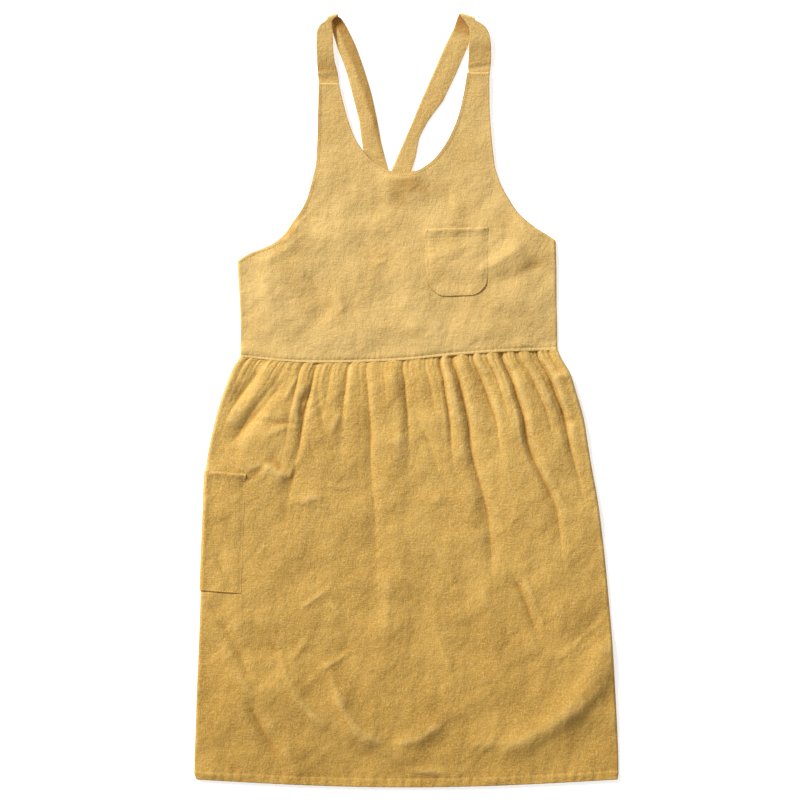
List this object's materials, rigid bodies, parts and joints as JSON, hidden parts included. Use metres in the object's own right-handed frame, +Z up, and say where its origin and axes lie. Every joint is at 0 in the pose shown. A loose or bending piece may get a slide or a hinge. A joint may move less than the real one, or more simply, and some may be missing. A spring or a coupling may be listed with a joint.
{
  "type": "kitchen apron",
  "caption": "Pinafore kitchen apron laid flat: scooped bib with shoulder tabs, crossed back straps, gathered skirt, rounded chest pocket and a pocket round the side fold.",
  "frame": {"origin": "middle of the laid apron's footprint, on the surface that it lies on", "axes": "+Z up from the surface, out of the apron's front; +Y from the hem to the straps; +X to the right of someone who looks down at the front"},
  "size_m": [0.5944, 1.0858, 0.0181],
  "materials": {
    "bib_cloth": "washed plain-woven cotton, matt, light mustard",
    "skirt_cloth": "washed plain-woven cotton, matt, mustard",
    "strap_cloth": "folded plain-woven cotton, matt, mustard"
  },
  "bodies": {
    "root": {"bib_front": "bib_cloth", "back_panel": "bib_cloth", "skirt_front": "skirt_cloth", "skirt_back": "skirt_cloth", "chest_pocket": "bib_cloth", "side_pocket": "skirt_cloth", "strap_left": "strap_cloth", "strap_right": "strap_cloth"}
  },
  "joints": []
}
